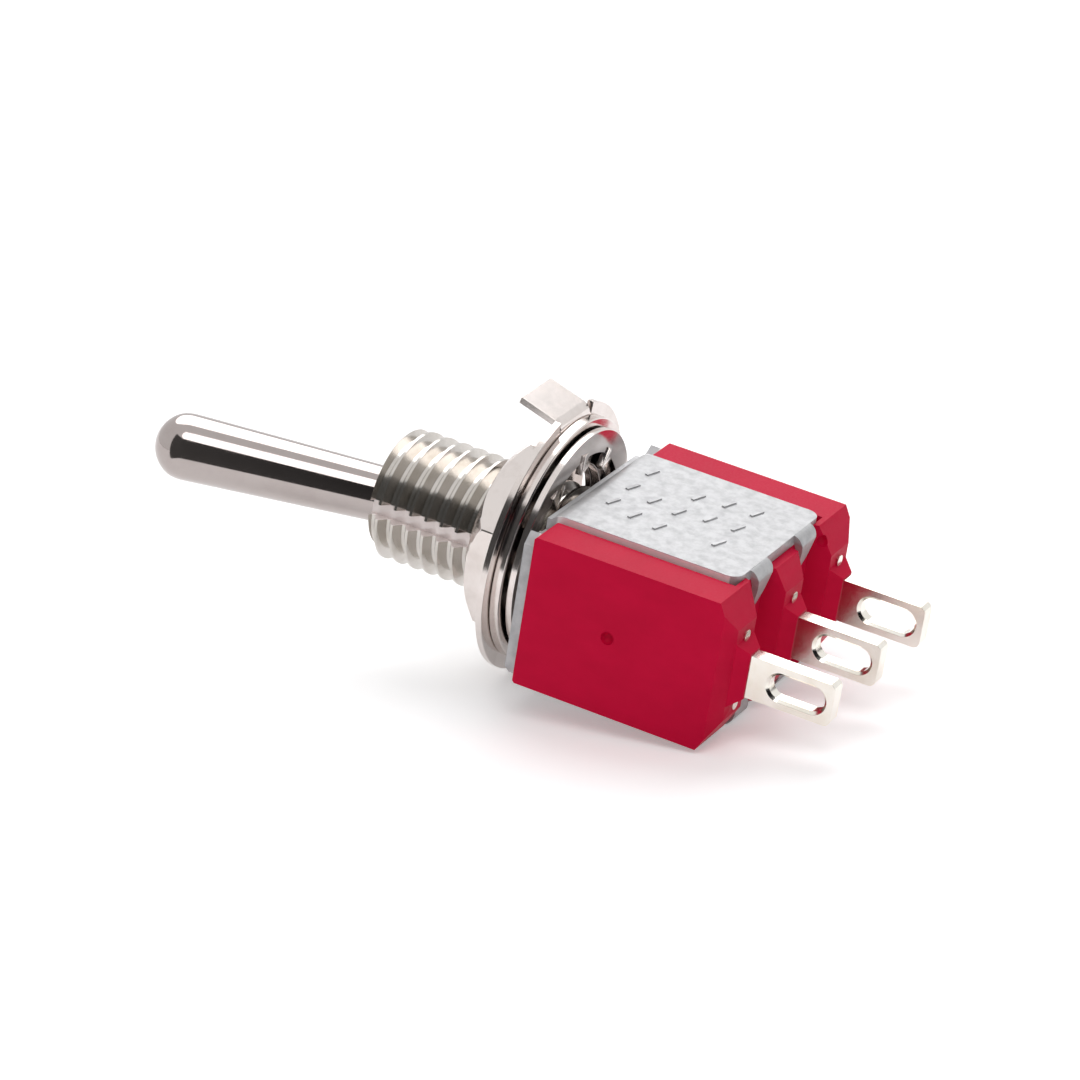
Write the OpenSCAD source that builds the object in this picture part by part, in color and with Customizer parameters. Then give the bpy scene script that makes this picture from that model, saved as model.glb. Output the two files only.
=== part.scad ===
// Miniature panel toggle switch, single pole, change-over, with solder terminals.
// Millimetres. +Z runs along the bushing towards the lever's tip and z = 0 is the
// seat face of the steel strap. X is the terminal row and the way the lever swings.

/* [Case] */
// Length of the moulded case along the terminal row
case_l = 12.7; // [12:0.1:14]
// Width of the case across its end blocks
case_w = 6.86; // [6.5:0.02:8]
// Depth from the strap's seat face to the underside of the case floor
case_floor = 8.9; // [8.4:0.1:10]
// Thickness of the case floor
floor_t = 1.1; // [0.8:0.1:1.6]
// Thickness of the case's two end walls
end_wall = 1.0; // [0.7:0.1:1.4]
// Thickness of the case's side walls under the strap
side_wall = 1.0; // [0.6:0.1:1.2]
// Chamfer on the end blocks' edges next to the strap
block_chamfer = 0.1; // [0.05:0.05:0.8]
// Radius of the gate mark on each end face
gate_r = 0.3; // [0.1:0.05:0.6]
// Place of the gate mark across the end face
gate_y = -0.1; // [-1:0.1:1]
// Radius of the ejector's dimple beside the right boss
dimple_r = 0.28; // [0.1:0.02:0.4]
// Distance of the dimple in from the side of the boss
dimple_in = 0.4; // [0.3:0.05:0.8]

/* [Terminal bosses] */
// Height of the bosses below the case floor
boss_h = 0.95; // [0.5:0.05:1.4]
// Half width of a boss at its bottom, along the row
boss_half = 0.9; // [0.7:0.05:1.1]
// How much wider each side of a boss is at the floor
boss_draft = 0.4; // [0:0.05:0.6]
// Fall of the bosses' bottom towards the end faces
boss_fall = 0.42; // [0:0.02:0.6]
// Width of the ramp on each side of the bosses, from the end block's side face
ramp_w = 1.3; // [0.4:0.05:1.45]
// Height of the bosses' ramps
ramp_h = 0.7; // [0.2:0.05:0.8]
// Height of the collar around each terminal
collar_h = 0.55; // [0:0.05:1]
// Width of a collar's foot outside the terminal
collar_foot = 0.5; // [0.2:0.05:0.7]
// Width of a collar's rim outside the terminal
collar_rim = 0.08; // [0.04:0.01:0.3]

/* [Strap] */
// Thickness of the steel strap
strap_t = 0.5; // [0.3:0.05:0.8]
// Length of the strap's top plate
strap_l = 12.4; // [11:0.1:12.6]
// Overall width of the strap across its two side plates
strap_w = 7.32; // [7.2:0.02:8.4]
// Width of each side plate along the row
plate_w = 8.4; // [7:0.1:9.5]
// Outer radius of the bend between top plate and side plate
bend_r = 0.8; // [0.55:0.05:1.2]
// Radius of the lower corners of the side plates
plate_corner = 0.6; // [0.1:0.05:0.9]
// Radius of the hollow between a side plate and a corner of the top plate
shoulder_r = 2.6; // [1.5:0.1:4]
// Chamfer on the corners of the top plate
top_corner = 0.5; // [0.05:0.05:0.8]
// Distance of each claw from the middle of the strap
claw_x = 2.2; // [1.9:0.05:2.6]
// Width of a claw at its root
claw_w = 1.65; // [1:0.05:1.8]
// Reach of a claw's point in from the side plate's outer face
claw_reach = 1.95; // [1:0.05:2.4]
// Thickness of a claw where it turns under the case
claw_t = 0.4; // [0.3:0.02:0.5]

/* [Raised marks] */
// Height of the raised dashes on the front plate
dash_h = 0.06; // [0.02:0.01:0.12]
// Length of a raised dash
dash_l = 0.8; // [0.3:0.05:1.2]
// Width of a raised dash
dash_w = 0.16; // [0.08:0.01:0.3]

/* [Bushing] */
// Diameter over the bushing's thread
thread_d = 5.9; // [5.5:0.05:6.4]
// Length of the bushing in front of the strap
bushing_l = 9; // [8:0.1:10]
// Distance from one thread ridge to the next
thread_pitch = 0.75; // [0.7:0.01:0.78]
// Width of a thread ridge at its top
thread_crest = 0.3; // [0.28:0.01:0.34]
// Depth of the thread
thread_depth = 0.36; // [0.2:0.01:0.36]
// Width of the plain groove under the nut's front
relief_w = 0.6; // [0.55:0.05:0.8]
// Chamfer on the bushing's front edge
front_chamfer = 0.2; // [0.1:0.05:0.4]
// Diameter of the neck that passes the strap
neck_d = 5.1; // [4.9:0.05:5.3]
// Diameter of the staked head behind the strap
stake_d = 5.7; // [5.4:0.05:5.9]
// Height of the staked head
stake_h = 0.4; // [0.3:0.05:0.6]
// Width of the keyway
key_w = 0.65; // [0.65:0.05:1]
// Depth of the keyway below the thread's outside
key_depth = 0.6; // [0.3:0.05:0.65]
// Turn of the keyway about the bushing's axis
key_angle = 184; // [175:1:195]
// Height of the keyway's closed end above the seat face
key_foot = 0.3; // [0.2:0.1:1.5]
// Radius of the lever's opening at the bushing's front
mouth_r = 2.07; // [2.04:0.01:2.15]

/* [Lever] */
// Height of the lever's pivot above the seat face
pivot_z = 5.9; // [5.6:0.05:6]
// Tilt of the lever from upright at each end of its throw
throw = 13; // [10:0.5:13]
// Lean at which the lever is drawn, minus is towards the left terminal
lever_lean = -13; // [-13:1:13]
// Length of the lever from its pivot to its tip
bat_l = 13.95; // [10:0.05:15]
// Diameter of the lever just below its rounded tip
bat_tip_d = 3.0; // [2.6:0.05:3.2]
// Diameter of the lever at its ball
bat_root_d = 2.36; // [2.2:0.02:2.4]
// Height of the rounded cap on the lever's tip
cap_h = 1.25; // [0.4:0.05:1.45]
// Diameter of the lever's ball
ball_d = 3.5; // [3.3:0.05:3.5]
// Diameter of the shank below the ball
shank_d = 1.4; // [1.3:0.05:1.4]
// Length of the shank below the pivot
shank_l = 8.2; // [7.6:0.1:8.4]
// Depth of the blind bore in the shank's end
shank_bore_l = 4.2; // [3.6:0.1:4.6]

/* [Plunger and spring] */
// Diameter of the plunger's stem
stem_d = 0.8; // [0.7:0.02:0.84]
// Length of the plunger's stem inside the shank
stem_l = 1.5; // [1:0.1:2]
// Diameter of the plunger's foot
foot_d = 1.3; // [1:0.05:1.4]
// Thickness of the spring's wire
wire_t = 0.13; // [0.1:0.01:0.15]
// Number of turns of the plunger's spring
spring_turns = 7; // [4:1:9]

/* [Contacts] */
// Thickness of the rocker's strip
rocker_t = 0.3; // [0.2:0.05:0.4]
// Overall length of the rocker
rocker_l = 10.0; // [9.6:0.1:10.2]
// Width of the rocker's arms
rocker_w = 2.6; // [2:0.1:3]
// Depth of the rocker's pivot below the seat face
rocker_z = 6.0; // [5.8:0.05:6.1]
// Tilt of the rocker at each end of its travel
rocker_tilt = 5; // [3:0.5:5]
// Distance of the contact buttons from the middle
contact_x = 4.4; // [4.2:0.05:4.5]
// Diameter of a contact button
button_d = 1.2; // [0.8:0.1:1.4]
// Height of a moving contact button under the strip
button_h = 0.35; // [0.2:0.05:0.4]

/* [Terminals] */
// Distance from terminal to terminal
pitch = 4.7; // [4.5:0.05:4.8]
// Width of a terminal blade
blade_w = 1.94; // [1.8:0.02:2.1]
// Thickness of a terminal blade
blade_t = 0.76; // [0.6:0.02:0.8]
// Depth of the blades' tips below the seat face
tip_z = 14.3; // [13.5:0.1:15]
// Corner radius at a blade's tip
tip_r = 0.3; // [0.1:0.05:0.6]
// Width of the wire slot in a blade
slot_w = 1.1; // [0.9:0.05:1.2]
// Overall length of the wire slot
slot_l = 2.55; // [2:0.05:2.8]
// Distance of the slot's middle from the blade's tip
slot_in = 1.68; // [1.5:0.02:2]
// Bevel pressed round the slot on both sides
slot_coin = 0.14; // [0.05:0.01:0.2]
// Width of a terminal's shoulder inside the boss
shoulder_w = 3.7; // [3:0.1:4]
// Diameter of the small prongs that show in the boss
prong_d = 0.52; // [0.3:0.02:0.56]
// Distance of a prong from the middle of the blade
prong_y = 1.6; // [1.4:0.05:1.7]

/* [Mounting hardware] */
// Width of the nut across its flats
nut_af = 8; // [7.8:0.1:10]
// Chamfer round the corners of the nut's rear face
nut_chamfer = 0.25; // [0.1:0.05:0.4]
// Height of the nut
nut_h = 1.45; // [1.2:0.05:2.4]
// Height of the nut's rear face above the seat face
nut_z = 2.12; // [2.12:0.02:5]
// Turn of the nut about the bushing
nut_turn = 23; // [0:1:59]
// Outside diameter of the locking ring
lock_d = 12.3; // [11:0.1:13]
// Thickness of the locking ring
lock_t = 0.3; // [0.2:0.02:0.32]
// Width of the locking ring's tab
tab_w = 2.75; // [2:0.05:3]
// Height of the tab above the ring
tab_h = 1.8; // [1:0.05:2.2]
// Distance of the tab's free end from the ring's middle
tab_r = 6.35; // [6.2:0.05:6.6]
// Outward lean of the tab
tab_lean = 14; // [0:1:20]
// Inner radius of the tab's fold
tab_fold_r = 0.25; // [0.15:0.05:0.4]
// Width of the notch on each side of the tab's root
tab_notch = 0.15; // [0.05:0.05:0.4]
// Outside diameter of the plain washer
washer_d = 11.1; // [9.5:0.1:11.6]
// Thickness of the plain washer
washer_t = 0.45; // [0.3:0.01:0.45]
// Outside diameter of the tooth washer
tooth_washer_d = 10.3; // [9.5:0.1:11]
// Thickness of the tooth washer
tooth_washer_t = 0.3; // [0.2:0.02:0.32]
// Number of inner teeth
teeth = 10; // [8:1:12]
// Length of each tooth
tooth_l = 0.65; // [0.5:0.05:0.9]
// Width of each tooth
tooth_w = 1.2; // [0.8:0.05:1.4]
// Twist of each tooth
tooth_twist = 10; // [6:1:12]
// Lean of the loose rings on the thread, across the row
ring_lean = 2.4; // [0:0.1:2.8]
// Shift of the loose rings along the row
ring_shift_x = 0.22; // [0:0.01:0.24]
// Shift of the loose rings across the row
ring_shift_y = -0.38; // [-0.42:0.01:0]

/* [Hidden] */
$fn = 96;
// slip fit between pieces that are pushed or staked together
slip = 0.01;
// air between pieces that move past each other
play = 0.05;
// small chamfer on the staked head's edge
stake_chamfer = 0.15;
// slope of the thread's flanks
flank = 30;
// front end of the plain groove, just ahead of the nut
relief_top = nut_z + nut_h + 2 * play;
// radius of the lip that keeps the ball in the bushing
seat_lip_r = 1.5;
// air between the locking ring, the plain washer and the tooth washer
ring_gap = 0.02;
// room of the loose rings round the thread
ring_room = 0.5;
// inside radius of all three loose rings
ring_bore_r = thread_d / 2 + ring_room;
// height of the tooth washer's rear face at the middle
ring_foot = 0.68;
// how far a twisted tooth stands out of its washer's face
tooth_rise = tooth_w / 2 * sin(tooth_twist) - tooth_washer_t / 2 * (1 - cos(tooth_twist));
// height of the plain washer's rear face at the middle
washer_z = ring_foot + tooth_washer_t + tooth_rise + ring_gap;
// height of the locking ring's rear face at the middle
lock_z = washer_z + washer_t + ring_gap;
// lower edge of the side plates, level with the underside of the case floor
plate_drop = case_floor;
// inside faces of the side plates
plate_in = strap_w / 2 - strap_t;
// side faces of the case between the end blocks
waist = plate_in - slip;
// half length of the gap between the end blocks
block_gap = plate_w / 2 + 0.2;
// cavity of the case
cavity_x = case_l / 2 - end_wall;
cavity_y = waist - side_wall;
cavity_floor = -case_floor + floor_t;
// bottom of the bosses
boss_z = -case_floor - boss_h;
// radius at the roots of the teeth
tooth_root_r = ring_bore_r + tooth_l;
// plastic above and below the terminals' shoulders
shoulder_cover = 0.45;
// terminal shoulder inside the floor
shoulder_top = cavity_floor - shoulder_cover;
shoulder_bottom = boss_z + shoulder_cover;
// how far a prong stands out of the boss
prong_out = 0.1;
// air between the plunger's tip and the rocker
tip_gap = 0.08;
// plunger geometry along the lever
plunger_tip = pivot_z + rocker_z - rocker_t - tip_gap;
// upper face of the plunger's foot, with air below the shank
foot_top = -shank_l - 2 * play;
bore_r = stem_d / 2 + play;
// height of a contact's rivet above the rocker
rivet_stand = 0.1;
// air left between closed contacts
contact_gap = 0.02;
// outer edge of the contact buttons
button_edge = contact_x + button_d / 2;
// fixed contact's top face meets the moving button at the end of its travel
fixed_top = -rocker_z - button_h * cos(rocker_tilt) - button_edge * sin(rocker_tilt) - contact_gap;
pad_top = cavity_floor + blade_t;
// length of the contact pads inside the end terminals
pad_l = 0.95;
// a small overlap used only when one piece is joined from several solids
join = 0.02;

// ---------- helpers ----------

// a box given by its limits
module span(x0, x1, y0, y1, z0, z1) {
    translate([x0, y0, z0])
        cube([x1 - x0, y1 - y0, z1 - z0]);
}

// a right prism along Y with the given outline in X and Z, centred on y = 0
module prism_y(outline, width) {
    rotate([90, 0, 0])
        translate([0, 0, -width / 2])
            linear_extrude(height = width)
                polygon(outline);
}

// a right prism along X with the given outline in Y and Z, from x0 to x1
module prism_x(outline, x0, x1) {
    translate([x0, 0, 0])
        rotate([90, 0, 90])
            linear_extrude(height = x1 - x0)
                polygon(outline);
}

// both mirror images of what is drawn on the +Y side
module both_sides() {
    children();
    mirror([0, 1, 0])
        children();
}

// both mirror images of what is drawn on the +X side
module both_ends() {
    children();
    mirror([1, 0, 0])
        children();
}

// places its children in the lever's own frame, pivot at the origin
module in_lever() {
    translate([0, 0, pivot_z])
        rotate([0, lever_lean, 0])
            children();
}

// places its children in the rocker's own frame, pivot at the origin
module in_rocker() {
    translate([0, 0, -rocker_z])
        rotate([0, -lever_lean * rocker_tilt / throw, 0])
            children();
}

// places its children with the loose rings, which lean and hang on the thread
module in_rings(height) {
    translate([ring_shift_x, ring_shift_y, height])
        rotate([ring_lean, 0, 0])
            children();
}

// a stadium-shaped outline, long way along Y
module stadium(length, width) {
    square([width, length - width], center = true);
    for (end = [-1, 1])
        translate([0, end * (length - width) / 2])
            circle(d = width);
}

// ---------- case ----------

// outline of the whole case from above with the waist for the side plates
module case_outline() {
    difference() {
        square([case_l, case_w], center = true);
        for (side = [-1, 1])
            translate([0, side * (waist + case_w / 2)])
                square([2 * block_gap, case_w], center = true);
    }
}

// one end boss with a bottom that falls away towards the end face
module end_boss() {
    inner = pitch - boss_half;
    prism_y([
        [inner - boss_draft, -case_floor],
        [inner, boss_z],
        [pitch + boss_half, boss_z],
        [case_l / 2, boss_z + boss_fall],
        [case_l / 2, -case_floor]
    ], case_w);
}

// the middle boss
module middle_boss() {
    prism_y([
        [-boss_half - boss_draft, -case_floor + join],
        [-boss_half, boss_z],
        [boss_half, boss_z],
        [boss_half + boss_draft, -case_floor + join]
    ], 2 * waist);
}

// tapered collar around one terminal, drawn about x = 0
module collar() {
    top = boss_z + join;
    low = boss_z - collar_h;
    foot_x = blade_t / 2 + collar_foot;
    rim_x = blade_t / 2 + collar_rim;
    foot_y = blade_w / 2 + collar_foot;
    rim_y = blade_w / 2 + collar_rim;
    intersection() {
        prism_y([[-foot_x, top], [foot_x, top], [rim_x, low], [-rim_x, low]], 2 * foot_y);
        prism_x([[-foot_y, top], [foot_y, top], [rim_y, low], [-rim_y, low]],
                -foot_x, foot_x);
    }
}

// cuts the ramp off the bosses, on the +Y side
module boss_ramp_cut() {
    slope = ramp_h / ramp_w;
    prism_x([
        [case_w / 2 - ramp_w - join, boss_z - slope * join],
        [case_w / 2 + join, boss_z - slope * join],
        [case_w / 2 + join, boss_z + ramp_h + slope * join]
    ], -case_l, case_l);
}

// cuts a chamfer off one of the case's upper edges, on the +Y side
module edge_cut(side_y, size, length) {
    top = -strap_t;
    prism_x([
        [side_y - size - join, top + join],
        [side_y + join + case_w, top + join],
        [side_y + join + case_w, top - size - join],
        [side_y + join, top - size - join]
    ], -length / 2, length / 2);
}

// room for one terminal through the floor, its boss and its collar
module terminal_pocket() {
    half = blade_t / 2;
    terminal_root();
    span(-half, half, -blade_w / 2, blade_w / 2, boss_z - collar_h - 1, boss_z + join);
}

module case_body() {
    difference() {
        union() {
            translate([0, 0, -case_floor])
                linear_extrude(height = case_floor - strap_t)
                    case_outline();
            both_ends()
                end_boss();
            middle_boss();
            for (i = [-1, 0, 1])
                translate([i * pitch, 0, 0])
                    collar();
        }
        span(-cavity_x, cavity_x, -cavity_y, cavity_y, cavity_floor, 1);
        translate([0, 0, -strap_t - stake_h - play])
            cylinder(d = stake_d + 4 * play, h = 2);
        both_sides()
            boss_ramp_cut();
        both_sides()
            edge_cut(waist, bend_r - strap_t, 2 * block_gap);
        both_sides()
            edge_cut(case_w / 2, block_chamfer, case_l + 1);
        both_ends()
            translate([case_l / 2, gate_y, -case_floor / 2])
                sphere(r = gate_r, $fn = 24);
        for (i = [-1, 0, 1])
            translate([i * pitch, 0, 0])
                terminal_pocket();
        both_ends()
            span(pitch - blade_t / 2, pitch + blade_t / 2, -blade_w / 2, blade_w / 2,
                 cavity_floor, pad_top);
        translate([pitch - boss_half - boss_draft / 2, dimple_in - waist, boss_z + boss_h / 2])
            sphere(r = dimple_r, $fn = 24);
    }
}

// ---------- strap ----------

// outline of the top plate, without the side plates' bends
module top_plate_outline() {
    reach_x = strap_l / 2;
    reach_y = case_w / 2 - play;
    polygon([
        [-reach_x + top_corner, -reach_y],
        [reach_x - top_corner, -reach_y],
        [reach_x, -reach_y + top_corner],
        [reach_x, reach_y - top_corner],
        [reach_x - top_corner, reach_y],
        [-reach_x + top_corner, reach_y],
        [-reach_x, reach_y - top_corner],
        [-reach_x, -reach_y + top_corner]
    ]);
}

// hollow that leaves a concave shoulder beside each side plate
module shoulder_cut() {
    bend_y = strap_w / 2 - bend_r;
    translate([plate_w / 2, bend_y + shoulder_r, -strap_t - join])
        intersection() {
            cylinder(r = shoulder_r, h = strap_t + 2 * join);
            translate([0, -shoulder_r, 0])
                cube([shoulder_r, shoulder_r, strap_t + 2 * join]);
        }
}

// section of the whole strap across the row: top plate, two bends and side plates
module strap_section() {
    half = strap_w / 2;
    in_r = bend_r - strap_t;
    difference() {
        union() {
            translate([-half, -plate_drop])
                square([strap_w, plate_drop - bend_r]);
            translate([-half + bend_r, -bend_r - join])
                square([strap_w - 2 * bend_r, bend_r + join]);
            for (side = [-1, 1])
                translate([side * (half - bend_r), -bend_r])
                    circle(r = bend_r);
        }
        translate([-plate_in, -plate_drop - 1])
            square([2 * plate_in, plate_drop - bend_r + 1]);
        translate([-plate_in + in_r, -bend_r - join])
            square([2 * (plate_in - in_r), bend_r - strap_t + join]);
        for (side = [-1, 1])
            translate([side * (plate_in - in_r), -bend_r])
                circle(r = in_r, $fn = 48);
    }
}

// cuts the round lower corner of a side plate, seen along Y
module plate_corner_cut() {
    difference() {
        translate([plate_w / 2 - plate_corner, -plate_drop - join])
            square([plate_corner + join, plate_corner + join]);
        translate([plate_w / 2 - plate_corner, -plate_drop + plate_corner])
            circle(r = plate_corner, $fn = 48);
    }
}

// one claw on the +Y side: it turns under the case and thins to a point
module claw() {
    half = strap_w / 2;
    floor_z = -case_floor - slip;
    fold_r = claw_t + 0.1;
    point_y = half - claw_reach;
    point_t = 0.1;
    root = claw_w / 2;
    intersection() {
        prism_x(concat([
            [point_y, floor_z],
            [plate_in, floor_z],
            [plate_in, floor_z + 2 * fold_r],
            [half, floor_z + 2 * fold_r]
        ], [
            for (a = [0 : 15 : 90])
                [half - fold_r + fold_r * cos(a),
                 floor_z - claw_t + fold_r - fold_r * sin(a)]
        ], [
            [point_y, floor_z - point_t]
        ]), -root, root);
        translate([0, 0, -plate_drop - 1])
            linear_extrude(height = 2)
                polygon([
                    [-root, half + join],
                    [root, half + join],
                    [0.88 * root, half - 0.45],
                    [0.82 * root, half - 0.85],
                    [0.66 * root, half - 1.4],
                    [0.2 * root, point_y],
                    [-0.1 * root, point_y],
                    [-0.24 * root, half - 1.45],
                    [-0.44 * root, half - 0.9],
                    [-0.9 * root, half - 0.35]
                ]);
    }
}

// rows of short raised dashes pressed into the front plate
module dashes() {
    rows = [[-1.6, 3, 0.6], [-2.9, 2, -0.9], [-4.2, 3, -0.2], [-5.5, 2, 1.1], [-6.8, 3, 0.2]];
    for (row = rows)
        for (i = [0 : row[1] - 1])
            translate([row[2] + (i - (row[1] - 1) / 2) * 1.9, -strap_w / 2, row[0]])
                rotate([0, 16, 0])
                    span(-dash_l / 2, dash_l / 2, -dash_h, join, -dash_w / 2, dash_w / 2);
}

module strap_body() {
    difference() {
        union() {
            difference() {
                translate([0, 0, -strap_t])
                    linear_extrude(height = strap_t)
                        top_plate_outline();
                both_ends()
                    both_sides()
                        shoulder_cut();
            }
            translate([-plate_w / 2, 0, 0])
                rotate([90, 0, 90])
                    linear_extrude(height = plate_w)
                        strap_section();
            dashes();
        }
        translate([0, 0, -strap_t - 1])
            cylinder(d = neck_d + 2 * slip, h = strap_t + 2);
        both_ends()
            rotate([90, 0, 0])
                linear_extrude(height = 4 * case_w, center = true)
                    plate_corner_cut();
    }
    for (end = [-1, 1])
        translate([end * claw_x, 0, 0])
            both_sides()
                claw();
}

// ---------- bushing ----------

// room that the shank needs as it swings below the ball
module swing_slot() {
    low = -strap_t - stake_h - 1;
    reach = (pivot_z - low) * tan(throw) + shank_d / 2 / cos(throw) + play;
    near = shank_d / 2 + play;
    prism_y([[-reach, low], [reach, low], [near, pivot_z], [-near, pivot_z]],
            shank_d + 4 * play);
}

// one ring-shaped groove between two thread ridges, rising from z = 0
module thread_groove() {
    outer = thread_d / 2;
    slope = thread_depth * tan(flank);
    mouth = thread_pitch - thread_crest;
    rotate_extrude()
        polygon([
            [outer - thread_depth, slope],
            [outer + join, -join * tan(flank)],
            [outer + join, mouth + join * tan(flank)],
            [outer - thread_depth, mouth - slope]
        ]);
}

// all the thread's grooves, counted both ways from the plain groove
module thread_grooves() {
    ahead = bushing_l - front_chamfer - relief_top;
    behind = relief_top - relief_w - key_foot;
    for (i = [0 : floor(ahead / thread_pitch) - 1])
        translate([0, 0, relief_top + thread_crest + i * thread_pitch])
            thread_groove();
    for (i = [1 : floor(behind / thread_pitch)])
        translate([0, 0, relief_top - relief_w - i * thread_pitch])
            thread_groove();
}

module bushing_body() {
    ball_r = ball_d / 2 + play;
    neck_z = pivot_z + sqrt(ball_r * ball_r - seat_lip_r * seat_lip_r);
    relief_z = relief_top - relief_w;
    difference() {
        rotate_extrude()
            polygon([
                [0, -strap_t - stake_h],
                [stake_d / 2 - stake_chamfer, -strap_t - stake_h],
                [stake_d / 2, -strap_t - stake_h + stake_chamfer],
                [stake_d / 2, -strap_t],
                [neck_d / 2, -strap_t],
                [neck_d / 2, 0],
                [thread_d / 2, 0],
                [thread_d / 2, relief_z],
                [thread_d / 2 - thread_depth, relief_z + play],
                [thread_d / 2 - thread_depth, relief_top - play],
                [thread_d / 2, relief_top],
                [thread_d / 2, bushing_l - front_chamfer],
                [thread_d / 2 - front_chamfer, bushing_l],
                [0, bushing_l]
            ]);
        translate([0, 0, pivot_z])
            sphere(r = ball_r);
        translate([0, 0, -strap_t - stake_h - 1])
            cylinder(r = ball_r, h = pivot_z + strap_t + stake_h + 1);
        translate([0, 0, neck_z])
            cylinder(r1 = seat_lip_r, r2 = mouth_r, h = bushing_l - neck_z);
        translate([0, 0, bushing_l - join])
            cylinder(r = mouth_r, h = 1);
        swing_slot();
        thread_grooves();
        rotate([0, 0, key_angle])
            span(thread_d / 2 - key_depth, thread_d, -key_w / 2, key_w / 2,
                 key_foot, bushing_l + 1);
    }
}

// ---------- lever, plunger and spring ----------

module toggle_lever() {
    cap_r = (bat_tip_d * bat_tip_d / 4 + cap_h * cap_h) / (2 * cap_h);
    in_lever()
        difference() {
            union() {
                sphere(d = ball_d);
                cylinder(d1 = bat_root_d, d2 = bat_tip_d, h = bat_l - cap_h);
                intersection() {
                    translate([0, 0, bat_l - cap_r])
                        sphere(r = cap_r);
                    translate([0, 0, bat_l - cap_h - join])
                        cylinder(d = bat_tip_d, h = 2 * cap_h);
                }
                translate([0, 0, -shank_l])
                    cylinder(d = shank_d, h = shank_l);
            }
            translate([0, 0, -shank_l - 1])
                cylinder(r = bore_r, h = shank_bore_l + 1, $fn = 48);
        }
}

module plunger() {
    tip_r = foot_d / 2;
    in_lever() {
        translate([0, 0, foot_top - join])
            cylinder(d = stem_d, h = stem_l + join, $fn = 48);
        translate([0, 0, -plunger_tip + tip_r])
            cylinder(d = foot_d, h = foot_top + plunger_tip - tip_r, $fn = 48);
        translate([0, 0, -plunger_tip + tip_r])
            sphere(r = tip_r, $fn = 48);
    }
}

module plunger_spring() {
    low = foot_top + stem_l + play;
    high = -shank_l + shank_bore_l - play;
    outer = bore_r - play;
    inner = outer - wire_t;
    half_turn = 38;
    in_lever()
        translate([0, 0, low])
            linear_extrude(height = high - low, twist = -360 * spring_turns,
                           slices = spring_turns * 18, $fn = 8)
                polygon([
                    for (a = [-half_turn : half_turn / 2 : half_turn])
                        outer * [cos(a), sin(a)],
                    for (a = [half_turn : -half_turn / 2 : -half_turn])
                        inner * [cos(a), sin(a)]
                ]);
}

// ---------- contacts ----------

module rocker() {
    waist_x = blade_t / 2 + 0.2;
    waist_y = blade_w / 2 - 0.17;
    in_rocker()
        difference() {
            linear_extrude(height = rocker_t)
                difference() {
                    square([rocker_l, rocker_w], center = true);
                    for (side = [-1, 1])
                        translate([0, side * (waist_y + rocker_w / 2)])
                            square([2 * waist_x, rocker_w], center = true);
                }
            both_ends()
                translate([contact_x, 0, -1])
                    cylinder(d = button_d / 2 + 2 * slip, h = 2, $fn = 48);
        }
}

// side is -1 for the left end and 1 for the right end
module moving_contact(side) {
    in_rocker()
        translate([side * contact_x, 0, 0]) {
            translate([0, 0, -button_h])
                cylinder(d = button_d, h = button_h - slip, $fn = 48);
            translate([0, 0, -slip - join])
                cylinder(d = button_d / 2, h = rocker_t + rivet_stand + slip + join, $fn = 48);
        }
}

module left_moving_contact() {
    moving_contact(-1);
}

module right_moving_contact() {
    moving_contact(1);
}

module fixed_contact(side) {
    translate([side * contact_x, 0, pad_top])
        cylinder(d = button_d, h = fixed_top - pad_top, $fn = 48);
}

module left_fixed_contact() {
    fixed_contact(-1);
}

module right_fixed_contact() {
    fixed_contact(1);
}

// ---------- terminals ----------

// the part of a terminal that stands in the case, drawn about x = 0
module terminal_root() {
    half = blade_t / 2;
    span(-half, half, -blade_w / 2, blade_w / 2, boss_z, cavity_floor + join);
    span(-half, half, -shoulder_w / 2, shoulder_w / 2, shoulder_bottom, shoulder_top);
    for (side = [-1, 1])
        translate([0, side * prong_y, boss_z - prong_out])
            cylinder(d = prong_d, h = shoulder_bottom - boss_z + prong_out + join, $fn = 32);
}

// the blade below the case with its wire slot, drawn about x = 0
module terminal_blade() {
    half = blade_t / 2;
    top = boss_z + join;
    slot_z = -tip_z + slot_in;
    difference() {
        rotate([90, 0, 90])
            linear_extrude(height = blade_t, center = true) {
                translate([-blade_w / 2, -tip_z + tip_r])
                    square([blade_w, top + tip_z - tip_r]);
                translate([-blade_w / 2 + tip_r, -tip_z])
                    square([blade_w - 2 * tip_r, 2 * tip_r]);
                for (side = [-1, 1])
                    translate([side * (blade_w / 2 - tip_r), -tip_z + tip_r])
                        circle(r = tip_r, $fn = 32);
            }
        translate([0, 0, slot_z])
            rotate([90, 0, 90])
                linear_extrude(height = 2, center = true)
                    stadium(slot_l, slot_w);
        both_ends()
            translate([half - slot_coin, 0, slot_z])
                slot_coining();
    }
}

// the bevel pressed round one side of a slot
module slot_coining() {
    run = (slot_l - slot_w) / 2;
    r0 = slot_w / 2 - join;
    r1 = slot_w / 2 + slot_coin;
    for (end = [-1, 1])
        translate([0, 0, end * run])
            rotate([0, 90, 0])
                cylinder(r1 = r0, r2 = r1, h = slot_coin + join, $fn = 48);
    translate([0, 0, -run])
        linear_extrude(height = 2 * run)
            polygon([
                [0, -r0],
                [slot_coin + join, -r1],
                [slot_coin + join, r1],
                [0, r0]
            ]);
}

module end_terminal() {
    half = blade_t / 2;
    terminal_root();
    terminal_blade();
    span(-half, half + pad_l, -blade_w / 2, blade_w / 2, cavity_floor, pad_top);
}

module left_terminal() {
    translate([-pitch, 0, 0])
        end_terminal();
}

module right_terminal() {
    translate([pitch, 0, 0])
        mirror([1, 0, 0])
            end_terminal();
}

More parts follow.
